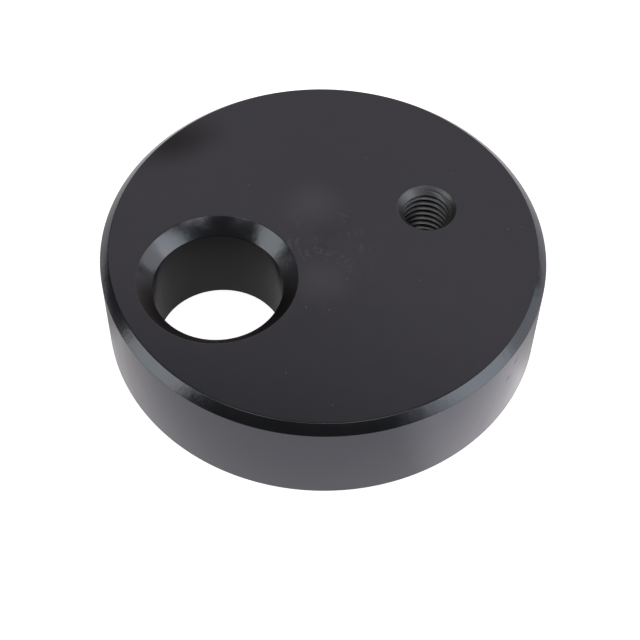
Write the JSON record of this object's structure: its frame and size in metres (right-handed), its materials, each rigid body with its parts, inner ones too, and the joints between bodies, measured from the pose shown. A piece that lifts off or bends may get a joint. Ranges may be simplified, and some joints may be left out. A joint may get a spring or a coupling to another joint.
{
  "type": "cnc turned part",
  "caption": "Thick round disc, turned all over, with chamfered rims, an off-centre plain bore with wide chamfers and a smaller tapped hole on the opposite side of the axis.",
  "frame": {"origin": "centre of the bottom face, on the turning axis", "axes": "+Z along the turning axis and both holes, from the bottom face to the top face; -X towards the bore, +X towards the tapped hole"},
  "size_m": [0.1, 0.1, 0.026],
  "materials": {
    "blackened_steel": "chemically blackened (black oxide), fine turned and satin"
  },
  "bodies": {
    "root": {"turned_disc": "blackened_steel"}
  },
  "joints": []
}
